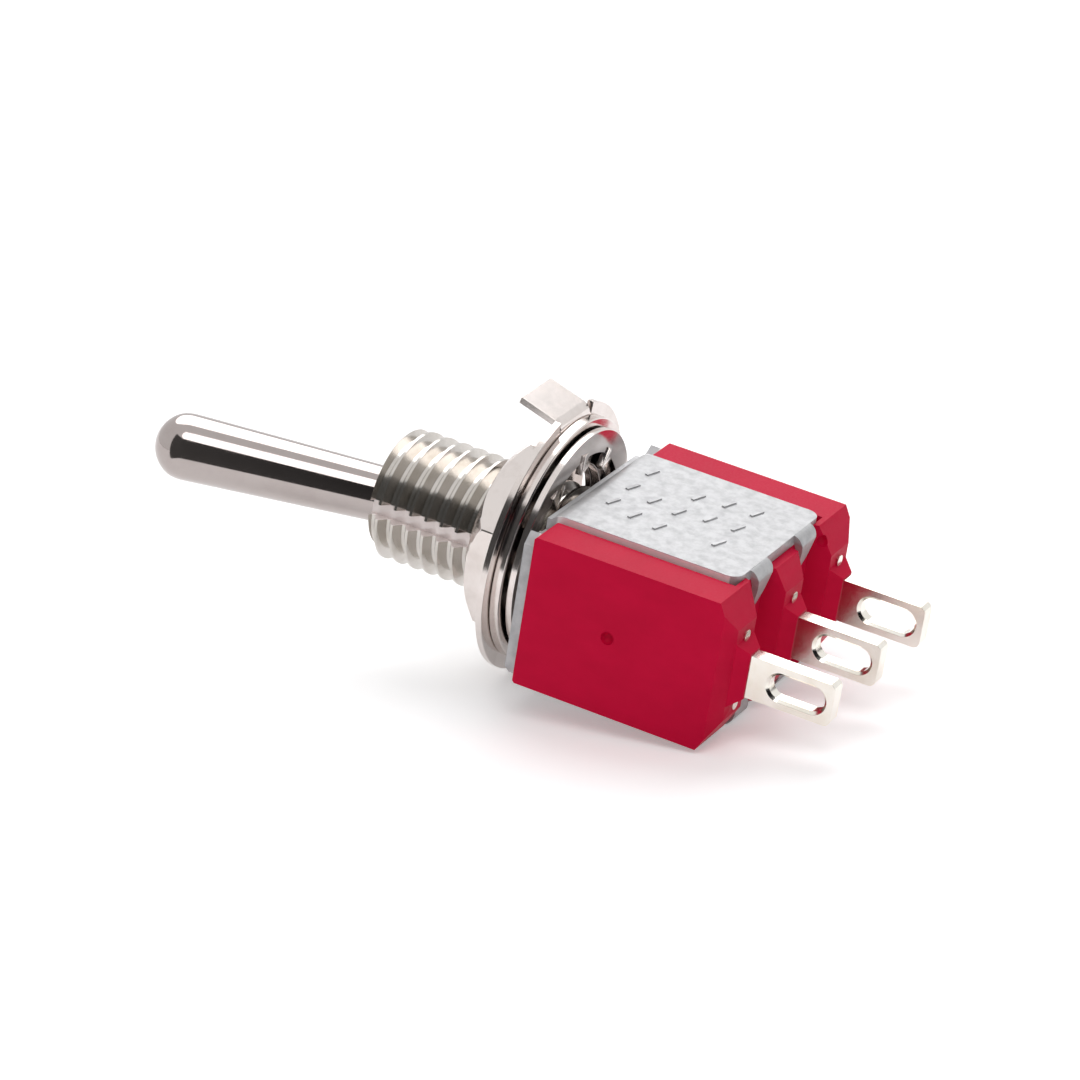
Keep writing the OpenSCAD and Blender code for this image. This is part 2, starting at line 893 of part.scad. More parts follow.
module centre_terminal() {
    half = blade_t / 2;
    edge_z = -rocker_z - slip;
    ear_y = blade_w / 2;
    ear_w = 0.55;
    ear_top = -rocker_z + 0.9;
    terminal_root();
    terminal_blade();
    prism_y([
        [-half, cavity_floor - join],
        [half, cavity_floor - join],
        [half, edge_z - half],
        [0, edge_z],
        [-half, edge_z - half]
    ], blade_w);
    both_sides()
        span(-half, half, ear_y - join, ear_y + ear_w, cavity_floor + 0.4, ear_top);
}

// ---------- mounting hardware ----------

module hex_nut() {
    corner_r = nut_af / sqrt(3);
    face_r = nut_af / 2 - 0.03;
    rise = corner_r - face_r;
    hole_r = thread_d / 2 + slip;
    translate([0, 0, nut_z])
        rotate([0, 0, nut_turn])
            difference() {
                intersection() {
                    cylinder(r = corner_r, h = nut_h, $fn = 6);
                    rotate_extrude()
                        polygon([
                            [0, 0],
                            [corner_r - nut_chamfer, 0],
                            [corner_r + nut_chamfer / 2, nut_chamfer * 0.75],
                            [corner_r + nut_chamfer / 2, nut_h - rise - nut_chamfer / 2],
                            [face_r, nut_h],
                            [0, nut_h]
                        ]);
                }
                translate([0, 0, -1])
                    cylinder(r = hole_r, h = nut_h + 2);
                translate([0, 0, nut_h - 0.25])
                    cylinder(r1 = hole_r - join, r2 = hole_r + 0.3, h = 0.3);
            }
}

// outer radius of the tab's fold
function fold_out() = tab_fold_r + lock_t;
// length of the tab's flat part
function tab_flat() = (lock_t + tab_h - fold_out() * (1 - sin(tab_lean))) / cos(tab_lean);
// distance of the fold's start from the ring's middle
function tab_root_r() = tab_r - fold_out() * cos(tab_lean) - tab_flat() * sin(tab_lean);

// section of the tab: a strip of the ring folded up, leaning outwards
module tab_section() {
    turn = 90 - tab_lean;
    far = 2 * fold_out();
    translate([-tab_root_r(), fold_out()]) {
        intersection() {
            difference() {
                circle(r = fold_out(), $fn = 48);
                circle(r = tab_fold_r, $fn = 48);
            }
            polygon([
                [0, 0],
                [0, -far],
                far / cos(turn / 2) * [-sin(turn / 2), -cos(turn / 2)],
                far * [-sin(turn), -cos(turn)]
            ]);
        }
        translate([-join, -fold_out()])
            square([3 * join, lock_t]);
        rotate(tab_lean)
            translate([-fold_out(), -join])
                square([lock_t, tab_flat() + join]);
    }
}

module locking_ring() {
    tongue_w = key_w - 0.25;
    tongue_r = thread_d / 2 - key_depth + 0.15 + ring_shift_x;
    // the tongue stays in the keyway although the ring hangs to one side
    tongue_turn = asin((tongue_r * sin(key_angle) - ring_shift_y) / tongue_r);
    in_rings(lock_z) {
        difference() {
            cylinder(d = lock_d, h = lock_t);
            translate([0, 0, -1])
                cylinder(r = ring_bore_r, h = 3);
            span(-tab_w / 2 - tab_notch, tab_w / 2 + tab_notch, -lock_d, -tab_root_r(), -1, 1);
        }
        translate([-tab_w / 2, 0, 0])
            rotate([90, 0, 90])
                linear_extrude(height = tab_w)
                    tab_section();
        intersection() {
            rotate([0, 0, 180 - tongue_turn])
                span(tongue_r, ring_bore_r + 0.2, -tongue_w / 2, tongue_w / 2, 0, lock_t);
            cylinder(r = ring_bore_r + 0.15, h = lock_t);
        }
    }
}

module plain_washer() {
    in_rings(washer_z)
        difference() {
            cylinder(d = washer_d, h = washer_t);
            translate([0, 0, -1])
                cylinder(r = ring_bore_r, h = 3);
        }
}

module tooth_washer() {
    in_rings(ring_foot) {
        difference() {
            cylinder(d = tooth_washer_d, h = tooth_washer_t);
            translate([0, 0, -1])
                cylinder(r = tooth_root_r, h = 3);
        }
        for (i = [0 : teeth - 1])
            rotate([0, 0, (i + 0.5) * 360 / teeth])
                translate([ring_bore_r, 0, tooth_washer_t / 2])
                    rotate([tooth_twist, 0, 0])
                        span(0, tooth_l + 0.25, -tooth_w / 2, tooth_w / 2,
                             -tooth_washer_t / 2, tooth_washer_t / 2);
    }
}

// ---------- the nodes ----------

color("crimson") case_body();  // case
color("silver") strap_body();  // strap
color("gainsboro") bushing_body();  // bushing
color("gainsboro") toggle_lever();
color("ivory") plunger();
color("dimgray") plunger_spring();
color("goldenrod") rocker();
color("lightgray") left_moving_contact();
color("lightgray") right_moving_contact();
color("lightgray") left_terminal();
color("lightgray") centre_terminal();
color("lightgray") right_terminal();
color("lightgray") left_fixed_contact();
color("lightgray") right_fixed_contact();
color("gainsboro") hex_nut();
color("gainsboro") locking_ring();
color("gainsboro") plain_washer();
color("gainsboro") tooth_washer();
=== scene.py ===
"""Looks of a miniature panel toggle switch.

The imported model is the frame. Every piece is made in metres in that frame,
rides on one of its bodies and wears a procedural finish.
"""
import logging
import math
from dataclasses import dataclass
from enum import Enum

import bmesh
import bpy
from mathutils import Matrix, Vector


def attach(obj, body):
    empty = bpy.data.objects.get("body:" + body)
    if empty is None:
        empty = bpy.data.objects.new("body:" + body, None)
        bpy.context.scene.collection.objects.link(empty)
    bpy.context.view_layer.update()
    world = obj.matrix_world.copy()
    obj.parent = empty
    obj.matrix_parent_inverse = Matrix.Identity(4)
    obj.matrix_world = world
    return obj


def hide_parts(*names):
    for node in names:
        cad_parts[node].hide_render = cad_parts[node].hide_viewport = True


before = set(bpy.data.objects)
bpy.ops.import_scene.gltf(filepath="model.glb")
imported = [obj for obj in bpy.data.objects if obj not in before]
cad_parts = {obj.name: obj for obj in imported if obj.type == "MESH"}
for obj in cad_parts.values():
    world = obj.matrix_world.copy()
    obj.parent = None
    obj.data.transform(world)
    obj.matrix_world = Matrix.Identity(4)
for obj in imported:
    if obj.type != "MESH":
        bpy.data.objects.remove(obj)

MM = 0.001
WELD_MM = 0.0004
FLAT_DEG = 0.6

LOG = logging.getLogger("toggle_switch")
logging.basicConfig(level=logging.INFO, format="%(name)s: %(message)s")

Colour = tuple[float, float, float]
Span = tuple[float, float]
Outline = list[tuple[float, float]]
WHITE: Colour = (1.0, 1.0, 1.0)
BLACK: Colour = (0.0, 0.0, 0.0)

# Sockets of a Mix node that mixes colours.
MIX_SHARE, MIX_FIRST, MIX_SECOND = 0, 6, 7
MIX_COLOUR = 2


class Body(str, Enum):
    """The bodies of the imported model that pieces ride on."""

    SWITCH = "switch_body"
    LEVER = "lever_body"
    PLUNGER = "plunger_body"
    ROCKER = "rocker_body"


class Slot(str, Enum):
    """The material slots of the record."""

    RED = "red_plastic"
    WHITE = "white_plastic"
    STRAP = "strap_steel"
    NICKEL = "nickel"
    LEVER = "lever_nickel"
    HARDWARE = "hardware_nickel"
    SPRING = "spring_steel"
    BRASS = "contact_brass"
    TINNED = "tinned_brass"
    SILVER = "silver"


class Grain(Enum):
    """How the fine marks on a metal run."""

    TURNED = "rings about the part's own axis"
    ROLLED = "lines along the sheet"
    TUMBLED = "marks in every direction"


# ---------- node helpers ----------


def feed(tree: bpy.types.NodeTree, socket: bpy.types.NodeSocket, value: object) -> None:
    """Links a socket to an input, or sets the input's value, with full alpha on a colour.

    Args:
        tree: The tree.
        socket: The input.
        value: The value, or the socket that feeds the input.
    """
    if isinstance(value, bpy.types.NodeSocket):
        tree.links.new(value, socket)
    elif socket.type == "RGBA":
        socket.default_value = (*value, 1.0)
    else:
        socket.default_value = value


def add_node(tree: bpy.types.NodeTree, kind: str, inputs: dict | None = None,
             **options: object) -> bpy.types.Node:
    """Adds a node to a tree.

    Args:
        tree: The tree.
        kind: The node's type.
        inputs: Values or sockets for the node's inputs, by name or number.
        options: The node's own settings.

    Returns:
        The new node.
    """
    node = tree.nodes.new(kind)
    for name, value in options.items():
        setattr(node, name, value)
    for name, value in (inputs or {}).items():
        feed(tree, node.inputs[name], value)
    return node


def seen_rays(tree: bpy.types.NodeTree) -> bpy.types.NodeSocket:
    """One for camera, glossy and transmission rays, and nothing for light rays.

    Args:
        tree: The tree of a material or a world.

    Returns:
        The value socket.
    """
    path = add_node(tree, "ShaderNodeLightPath").outputs
    seen = path["Is Camera Ray"]
    for ray in ("Is Glossy Ray", "Is Transmission Ray"):
        seen = add_node(tree, "ShaderNodeMath", {0: seen, 1: path[ray]}, operation="MAXIMUM").outputs[0]
    return seen


@dataclass(frozen=True)
class Fractal:
    """Fractal noise: waves in a millimetre, octaves and the finer octaves' strength."""

    scale: float
    detail: float
    rough: float


class Shader:
    """The node tree of one material, with short calls that add and join nodes."""

    def __init__(self, name: str) -> None:
        """Starts a material that holds only its shader and output.

        Args:
            name: The material's name.
        """
        self.material = bpy.data.materials.new(name)
        self.material.use_nodes = True
        self.tree = self.material.node_tree
        self.surface = self.tree.nodes["Principled BSDF"]
        self.output = self.tree.nodes["Material Output"]

    def add(self, kind: str, inputs: dict | None = None, **options: object) -> bpy.types.Node:
        """Adds a node to the material, as add_node does."""
        return add_node(self.tree, kind, inputs, **options)

    def place_mm(self, stretch: tuple[float, float, float] = (1.0, 1.0, 1.0),
                 turn: tuple[float, float, float] = (0.0, 0.0, 0.0)) -> bpy.types.NodeSocket:
        """Object coordinates in millimetres.

        Args:
            stretch: Scale of each axis on top of the millimetres.
            turn: Turn of the coordinates in radians.

        Returns:
            The vector socket.
        """
        coordinates = self.add("ShaderNodeTexCoord")
        mapping = self.add(
            "ShaderNodeMapping",
            {
                "Vector": coordinates.outputs["Object"],
                "Rotation": turn,
                "Scale": tuple(s / MM for s in stretch),
            },
        )
        return mapping.outputs["Vector"]

    def along(self, direction: tuple[float, float, float],
              place: bpy.types.NodeSocket | None = None) -> bpy.types.NodeSocket:
        """How far a point lies along a direction.

        Args:
            direction: The direction, one long.
            place: The coordinates, or nothing for millimetres.

        Returns:
            The value socket.
        """
        inputs = {0: self.place_mm() if place is None else place, 1: direction}
        return self.add("ShaderNodeVectorMath", inputs, operation="DOT_PRODUCT").outputs["Value"]

    def noise(self, place: bpy.types.NodeSocket, kind: Fractal) -> bpy.types.NodeSocket:
        """Fractal noise from 0 to 1.

        Args:
            place: The coordinates.
            kind: Its scale and octaves.

        Returns:
            The value socket.
        """
        inputs = {"Vector": place, "Scale": kind.scale, "Detail": kind.detail, "Roughness": kind.rough}
        return self.add("ShaderNodeTexNoise", inputs).outputs["Fac"]

    def fit(self, value: bpy.types.NodeSocket, low: float, high: float,
            out_low: float, out_high: float) -> bpy.types.NodeSocket:
        """Maps a range to another and holds it there.

        Args:
            value: The value to map.
            low: Start of its range.
            high: End of its range.
            out_low: Result at the start.
            out_high: Result at the end.

        Returns:
            The value socket.
        """
        node = self.add(
            "ShaderNodeMapRange",
            {"Value": value, "From Min": low, "From Max": high, "To Min": out_low, "To Max": out_high},
            clamp=True,
        )
        return node.outputs["Result"]

    def above(self, value: bpy.types.NodeSocket, level: float, soft: float) -> bpy.types.NodeSocket:
        """One where a value is over a level, and nothing from a soft step under it."""
        return self.fit(value, level - soft, level, 0.0, 1.0)

    def below(self, value: bpy.types.NodeSocket, level: float, soft: float) -> bpy.types.NodeSocket:
        """One where a value is under a level, and nothing from a soft step over it."""
        return self.fit(value, level, level + soft, 1.0, 0.0)

    def blend(self, share: bpy.types.NodeSocket | float, a: object, b: object) -> bpy.types.NodeSocket:
        """Mixes two colours.

        Args:
            share: How much of the second colour shows.
            a: First colour or socket.
            b: Second colour or socket.

        Returns:
            The colour socket.
        """
        inputs = {MIX_SHARE: share, MIX_FIRST: a, MIX_SECOND: b}
        return self.add("ShaderNodeMix", inputs, data_type="RGBA").outputs[MIX_COLOUR]

    def math(self, operation: str, a: object, b: object = 0.0) -> bpy.types.NodeSocket:
        """One step of arithmetic.

        Args:
            operation: Name of the operation.
            a: First value or socket.
            b: Second value or socket.

        Returns:
            The value socket.
        """
        return self.add("ShaderNodeMath", {0: a, 1: b}, operation=operation).outputs[0]

    def product(self, *shares: bpy.types.NodeSocket) -> bpy.types.NodeSocket:
        """Multiplies shares with one another.

        Args:
            shares: The value sockets.

        Returns:
            The value socket of their product.
        """
        result = shares[0]
        for share in shares[1:]:
            result = self.math("MULTIPLY", result, share)
        return result

    def bump(self, height: bpy.types.NodeSocket, depth_mm: float,
             below: bpy.types.NodeSocket | None = None) -> bpy.types.NodeSocket:
        """Turns a height into a shading normal.

        Args:
            height: Height from 0 to 1.
            depth_mm: Depth of a full height, in millimetres.
            below: Normal of a coarser bump under this one.

        Returns:
            The normal socket.
        """
        inputs: dict = {"Height": height, "Distance": depth_mm * MM, "Strength": 1.0}
        if below is not None:
            inputs["Normal"] = below
        return self.add("ShaderNodeBump", inputs).outputs["Normal"]

    def set(self, **values: object) -> None:
        """Sets inputs of the shader.

        Args:
            values: Values or sockets by the input's name, with underscores for its spaces.
        """
        for name, value in values.items():
            feed(self.tree, self.surface.inputs[name.replace("_", " ")], value)


# ---------- finishes ----------


@dataclass(frozen=True)
class MouldedPlastic:
    """Moulded thermoset with a faint flow pattern and a satin skin."""

    name: str
    colour: Colour
    deep: Colour
    roughness: float
    gloss: float = 0.4
    grain_mm: float = 0.0012
    sink_mm: float = 0.010
    flow_stretch: tuple[float, float, float] = (0.25, 0.9, 0.5)
    flow: Fractal = Fractal(0.9, 4.0, 0.55)
    fine: Fractal = Fractal(9.0, 4.0, 0.6)
    speck: Fractal = Fractal(26.0, 2.0, 0.5)
    flow_span: Span = (0.35, 0.68)
    fine_span: Span = (0.3, 0.7)
    speck_span: Span = (0.72, 0.80)
    smooth_by: float = 0.05
    dull_by: float = 0.09
    dust: float = 0.35
    pale_gain: float = 1.5
    pale_lift: float = 0.02
    ior: float = 1.5

    def build(self) -> bpy.types.Material:
        """Builds the finish.

        Returns:
            The material.
        """
        sheet = Shader(self.name)
        place = sheet.place_mm()
        flow = sheet.noise(sheet.place_mm(self.flow_stretch), self.flow)
        fine = sheet.noise(place, self.fine)
        tone = sheet.blend(sheet.fit(flow, *self.flow_span, 0.0, 1.0), self.deep, self.colour)
        dust = sheet.fit(sheet.noise(place, self.speck), *self.speck_span, 0.0, self.dust)
        pale = tuple(min(1.0, c * self.pale_gain + self.pale_lift) for c in self.colour)
        smoothest, dullest = self.roughness - self.smooth_by, self.roughness + self.dull_by
        sheet.set(
            Base_Color=sheet.blend(dust, tone, pale),
            Roughness=sheet.fit(fine, *self.fine_span, smoothest, dullest),
            IOR=self.ior,
            Specular_IOR_Level=self.gloss,
            Normal=sheet.bump(fine, self.grain_mm, sheet.bump(flow, self.sink_mm)),
        )
        return sheet.material


@dataclass(frozen=True)
class MilledStrip:
    """Where a milled keyway lies on a turned part, with a lighter, less metallic colour: partly its duller
    milled skin, partly a painted highlight.
    """

    turn_deg: float
    half_width: float
    floor_r: float
    # Lighter colour and lower metallic in the keyway: partly the duller milled skin, partly a painted
    # highlight.
    colour: Colour
    metallic: float = 0.25
    floor_margin: float = 0.03
    side_margin: float = 0.01
    soft: float = 0.02

    def mask(self, sheet: Shader) -> bpy.types.NodeSocket:
        """One inside the keyway and nothing elsewhere.

        Args:
            sheet: The material's tree.

        Returns:
            The value socket.
        """
        turn = math.radians(self.turn_deg)
        outwards = sheet.along((math.cos(turn), math.sin(turn), 0.0))
        aside = sheet.math("ABSOLUTE", sheet.along((-math.sin(turn), math.cos(turn), 0.0)))
        return sheet.product(
            sheet.above(outwards, self.floor_r - self.floor_margin, self.floor_margin),
            sheet.below(aside, self.half_width + self.side_margin, self.soft),
        )


@dataclass(frozen=True)
class PlatedMetal:
    """Plated metal with fine marks, faint stains and a colour of its own."""

    name: str
    colour: Colour
    stain: Colour
    roughness: float
    grain: Grain = Grain.TUMBLED
    mark_mm: float = 0.0006
    wave_mm: float = 0.0
    marks_per_mm: float = 14.0
    lean_deg: float = 0.0
    milled: MilledStrip | None = None
    turned_stretch: tuple[float, float, float] = (0.06, 0.06, 1.0)
    rolled_stretch: tuple[float, float, float] = (0.05, 1.0, 1.0)
    cloud: Fractal = Fractal(0.8, 4.0, 0.6)
    wave: Fractal = Fractal(1.6, 2.0, 0.4)
    stain_span: Span = (0.42, 0.72)
    mark_span: Span = (0.3, 0.7)
    scuff: Span = (-0.02, 0.03)
    wear_span: Span = (0.35, 0.7)
    wear: float = 0.05

    def build(self) -> bpy.types.Material:
        """Builds the finish.

        Returns:
            The material.
        """
        sheet = Shader(self.name)
        place = sheet.place_mm()
        cloud = sheet.noise(place, self.cloud)
        marks = self._marks(sheet)
        tone = sheet.blend(sheet.fit(cloud, *self.stain_span, 0.0, 1.0), self.colour, self.stain)
        normal = sheet.bump(marks, self.mark_mm)
        if self.wave_mm:
            normal = sheet.bump(sheet.noise(place, self.wave), self.wave_mm, normal)
        scuffs = sheet.fit(marks, *self.mark_span, *self.scuff)
        worn = sheet.math("ADD", scuffs, sheet.fit(cloud, *self.wear_span, 0.0, self.wear))
        metallic: float | bpy.types.NodeSocket = 1.0
        if self.milled is not None:
            # The keyway is painted lighter and less metallic: a painted highlight on top of its duller milled
            # skin.
            milled = self.milled.mask(sheet)
            tone = sheet.blend(milled, tone, self.milled.colour)
            metallic = sheet.fit(milled, 0.0, 1.0, 1.0, self.milled.metallic)
        sheet.set(
            Base_Color=tone,
            Metallic=metallic,
            Roughness=sheet.math("ADD", worn, self.roughness),
            Normal=normal,
        )
        return sheet.material

    def _marks(self, sheet: Shader) -> bpy.types.NodeSocket:
        """Height of the fine marks.

        Args:
            sheet: The material's tree.

        Returns:
            The value socket.
        """
        if self.grain is Grain.TURNED:
            place = sheet.place_mm(self.turned_stretch, (0.0, -math.radians(self.lean_deg), 0.0))
            return sheet.noise(place, Fractal(self.marks_per_mm, detail=3.0, rough=0.65))
        if self.grain is Grain.ROLLED:
            place = sheet.place_mm(self.rolled_stretch)
            return sheet.noise(place, Fractal(self.marks_per_mm, detail=3.0, rough=0.6))
        return sheet.noise(sheet.place_mm(), Fractal(self.marks_per_mm, detail=4.0, rough=0.6))


@dataclass(frozen=True)
class ShearedEdge:
    """Where a folded sheet's sheared edges lie, which get a painted highlight: a near-white colour."""

    half_width: float
    inner_y: float
    outer_y: float
    below_z: float
    # Near-white colour of the painted highlight on the sheared edges.
    colour: Colour
    margin: float = 0.03
    soft: float = 0.02
    fade: float = 0.1

    def mask(self, sheet: Shader) -> bpy.types.NodeSocket:
        """One on the sheared edges and nothing elsewhere.

        Args:
            sheet: The material's tree.

        Returns:
            The value socket.
        """
        width = sheet.math("ABSOLUTE", sheet.along((1.0, 0.0, 0.0)))
        depth = sheet.math("ABSOLUTE", sheet.along((0.0, 1.0, 0.0)))
        return sheet.product(
            sheet.above(width, self.half_width - self.margin, self.soft),
            sheet.above(depth, self.inner_y, self.soft),
            sheet.below(depth, self.outer_y, self.soft),
            sheet.below(sheet.along((0.0, 0.0, 1.0)), self.below_z - self.fade, self.fade),
        )


@dataclass(frozen=True)
class DullSteel:
    """Pickled sheet steel: a matte, faintly mottled skin with small bright glints."""

    name: str
    colour: Colour
    shade: Colour
    sheared: ShearedEdge
    roughness: float = 0.42
    glint: float = 0.11
    dull_by: float = 0.06
    metallic: float = 0.3
    shade_span: Span = (0.4, 0.66)
    dull_span: Span = (0.36, 0.62)
    mottle: Fractal = Fractal(2.2, 5.0, 0.62)
    mottle_mm: float = 0.012
    grit: Fractal = Fractal(18.0, 3.0, 0.6)
    grit_mm: float = 0.0022
    rolled_stretch: tuple[float, float, float] = (0.08, 1.0, 1.2)
    rolled: Fractal = Fractal(7.0, 3.0, 0.6)
    rolled_mm: float = 0.0016

    def build(self) -> bpy.types.Material:
        """Builds the finish.

        Returns:
            The material.
        """
        sheet = Shader(self.name)
        place = sheet.place_mm()
        mottle = sheet.noise(place, self.mottle)
        grit = sheet.noise(place, self.grit)
        rolled = sheet.noise(sheet.place_mm(self.rolled_stretch), self.rolled)
        tone = sheet.blend(sheet.fit(mottle, *self.shade_span, 0.0, 1.0), self.colour, self.shade)
        dull = sheet.fit(mottle, *self.dull_span, self.roughness - self.glint, self.roughness + self.dull_by)
        normal = sheet.bump(rolled, self.rolled_mm, sheet.bump(grit, self.grit_mm))
        sheet.set(
            # Painted highlight: the sheared edges are painted near white over the steel's own tone.
            Base_Color=sheet.blend(self.sheared.mask(sheet), tone, self.sheared.colour),
            Metallic=self.metallic,
            Roughness=dull,
            Normal=sheet.bump(mottle, self.mottle_mm, normal),
        )
        return sheet.material


class Palette:
    """One material for each slot of the record."""

    def __init__(self) -> None:
        """Builds every finish once."""
        finishes = {
            Slot.RED: MouldedPlastic(
                "crimson_moulding", (0.60, 0.0025, 0.042), (0.55, 0.002, 0.037), roughness=0.42, gloss=0.07),
            Slot.WHITE: MouldedPlastic(
                "ivory_moulding", (0.80, 0.77, 0.68), (0.74, 0.70, 0.61), roughness=0.4),
            Slot.STRAP: DullSteel(
                "pickled_strap_steel", (0.47, 0.47, 0.48), (0.39, 0.39, 0.40),
                # The strap's sheared edges carry a painted highlight, near white.
                ShearedEdge(half_width=4.2, inner_y=3.12, outer_y=3.63, below_z=-0.4,
                            colour=(0.95, 0.95, 0.95))),
            Slot.NICKEL: PlatedMetal(
                "nickel_thread", (0.56, 0.53, 0.50), (0.48, 0.45, 0.41), roughness=0.15,
                # The keyway's lighter, less metallic colour is partly a painted highlight.
                milled=MilledStrip(turn_deg=184.0, half_width=0.33, floor_r=2.35, colour=(0.88, 0.80, 0.78))),
            Slot.LEVER: PlatedMetal(
                "nickel_lever", (0.41, 0.365, 0.352), (0.38, 0.335, 0.322), roughness=0.06,
                grain=Grain.TURNED, mark_mm=0.0005, marks_per_mm=16.0, lean_deg=-13.0),
            Slot.HARDWARE: PlatedMetal(
                "nickel_hardware", (0.70, 0.645, 0.62), (0.62, 0.56, 0.53), roughness=0.12, wave_mm=0.003),
            Slot.SPRING: PlatedMetal(
                "drawn_wire", (0.45, 0.45, 0.46), (0.38, 0.38, 0.4), roughness=0.25),
            Slot.BRASS: PlatedMetal(
                "rolled_brass", (0.78, 0.58, 0.28), (0.66, 0.46, 0.2), roughness=0.22, grain=Grain.ROLLED),
            Slot.TINNED: PlatedMetal(
                "silvered_brass", (0.83, 0.80, 0.74), (0.76, 0.71, 0.62), roughness=0.14, mark_mm=0.0008,
                wave_mm=0.005),
            Slot.SILVER: PlatedMetal(
                "contact_silver", (0.88, 0.87, 0.84), (0.8, 0.78, 0.74), roughness=0.2),
        }
        self.materials = {slot: finish.build() for slot, finish in finishes.items()}

    def __getitem__(self, slot: Slot) -> bpy.types.Material:
        """Returns the material of a slot."""
        return self.materials[slot]


# ---------- mesh helpers ----------


def put_in_scene(mesh: bpy.types.Mesh, name: str) -> bpy.types.Object:
    """Makes an object for a mesh.

    Args:
        mesh: The mesh.
        name: The object's name.

    Returns:
        The object, at the origin.
    """
    mesh.name = name
    piece = bpy.data.objects.new(name, mesh)
    bpy.context.scene.collection.objects.link(piece)
    return piece


def smooth_between(mesh: bpy.types.Mesh, angle_deg: float) -> None:
    """Shades a mesh smooth, with its edges above an angle kept sharp.

    Args:
        mesh: The mesh.
        angle_deg: Angle above which an edge stays sharp.
    """
    for face in mesh.polygons:
        face.use_smooth = True
    mesh.set_sharp_from_angle(angle=math.radians(angle_deg))


def merged_copy(node: str) -> bpy.types.Mesh:
    """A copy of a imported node's mesh with its loose triangles joined.

    Args:
        node: The node's name.

    Returns:
        The new mesh, with flat areas dissolved into single faces.
    """
    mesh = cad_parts[node].data.copy()
    work = bmesh.new()
    work.from_mesh(mesh)
    bmesh.ops.remove_doubles(work, verts=work.verts, dist=WELD_MM * MM)
    bmesh.ops.dissolve_limit(
        work, angle_limit=math.radians(FLAT_DEG), use_dissolve_boundaries=False,
        verts=work.verts, edges=work.edges,
    )
    work.to_mesh(mesh)
    work.free()
    return mesh


def turned_mesh(outline: Outline, sides: int, hollow: bool = False) -> bpy.types.Mesh:
    """Turns an outline about the Z axis.

    Args:
        outline: Radius and height of each point in millimetres, upwards along
            the outside. A solid starts and ends on the axis.
        sides: Number of sides of the turned piece.
        hollow: Whether the last point joins the first, round an open bore.

    Returns:
        The closed mesh.
    """
    work = bmesh.new()
    rings = []
    for radius, height in outline:
        if radius == 0.0:
            rings.append([work.verts.new((0.0, 0.0, height * MM))])
            continue
        turns = (2 * math.pi * i / sides for i in range(sides))
        rings.append([
            work.verts.new((radius * MM * math.cos(t), radius * MM * math.sin(t), height * MM))
            for t in turns
        ])
    if hollow:
        rings.append(rings[0])
    for low, high in zip(rings, rings[1:]):
        for i in range(sides):
            j = (i + 1) % sides
            if len(low) == 1:
                work.faces.new((low[0], high[j], high[i]))
            elif len(high) == 1:
                work.faces.new((low[i], low[j], high[0]))
            else:
                work.faces.new((low[i], low[j], high[j], high[i]))
    bmesh.ops.recalc_face_normals(work, faces=work.faces)
    mesh = bpy.data.meshes.new("turned")
    work.to_mesh(mesh)
    work.free()
    return mesh


def arc(radius: float, centre: tuple[float, float], start_deg: float, end_deg: float,
        steps: int) -> Outline:
    """Points along an arc of an outline.

    Args:
        radius: The arc's radius.
        centre: Radius and height of its centre.
        start_deg: Angle of its first point, from the outward direction.
        end_deg: Angle of its last point.
        steps: Number of spans.

    Returns:
        Radius and height of each point.
    """
    turns = (math.radians(start_deg + (end_deg - start_deg) * i / steps) for i in range(steps + 1))
    return [(centre[0] + radius * math.cos(t), centre[1] + radius * math.sin(t)) for t in turns]


def finish_piece(piece: bpy.types.Object, body: Body, slot: Slot, palette: Palette, *nodes: str) -> None:
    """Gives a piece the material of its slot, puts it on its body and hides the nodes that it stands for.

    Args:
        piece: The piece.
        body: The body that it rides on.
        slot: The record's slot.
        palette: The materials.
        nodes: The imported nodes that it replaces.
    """
    piece.data.materials.clear()
    piece.data.materials.append(palette[slot])
    for face in piece.data.polygons:
        face.material_index = 0
    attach(piece, body.value)
    if nodes:
        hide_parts(*nodes)
    LOG.info("%s: %d faces, rides on %s", piece.name, len(piece.data.polygons), body.value)


# ---------- pieces ----------


@dataclass
class EdgedNode:
    """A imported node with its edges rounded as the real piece's are."""

    node: str
    slot: Slot
    body: Body = Body.SWITCH
    edge_mm: float = 0.05
    edge_steps: int = 2
    edge_angle_deg: float = 32.0
    flat_weight: int = 100

    def build(self) -> bpy.types.Object:
        """Rounds a copy of the node.

        Returns:
            The rounded piece.
        """
        piece = put_in_scene(merged_copy(self.node), "looks_" + self.node)
        smooth_between(piece.data, self.edge_angle_deg)
        rounding = piece.modifiers.new("rounding", "BEVEL")
        rounding.width = self.edge_mm * MM
        rounding.segments = self.edge_steps
        rounding.limit_method = "ANGLE"
        rounding.angle_limit = math.radians(self.edge_angle_deg)
        rounding.use_clamp_overlap = True
        flats = piece.modifiers.new("flats", "WEIGHTED_NORMAL")
        flats.mode = "FACE_AREA"
        flats.weight = self.flat_weight
        flats.keep_sharp = True
        evaluated = piece.evaluated_get(bpy.context.evaluated_depsgraph_get())
        mesh = bpy.data.meshes.new_from_object(evaluated)
        piece.modifiers.clear()
        piece.data = mesh
        return piece

    def dress(self, palette: Palette) -> None:
        """Builds the piece and gives it its finish.

        Args:
            palette: The materials.
        """
        finish_piece(self.build(), self.body, self.slot, palette, self.node)


@dataclass
class PlainNode:
    """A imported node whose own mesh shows, with a finish of its own."""

    node: str
    slot: Slot

    def dress(self, palette: Palette) -> None:
        """Assigns the finish.

        Args:
            palette: The materials.
        """
        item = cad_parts[self.node]
        if not item.data.materials:
            item.data.materials.append(palette[self.slot])
        for index in range(len(item.material_slots)):
            item.material_slots[index].material = palette[self.slot]
        LOG.info("%s: packed node, %s", self.node, self.slot.value)


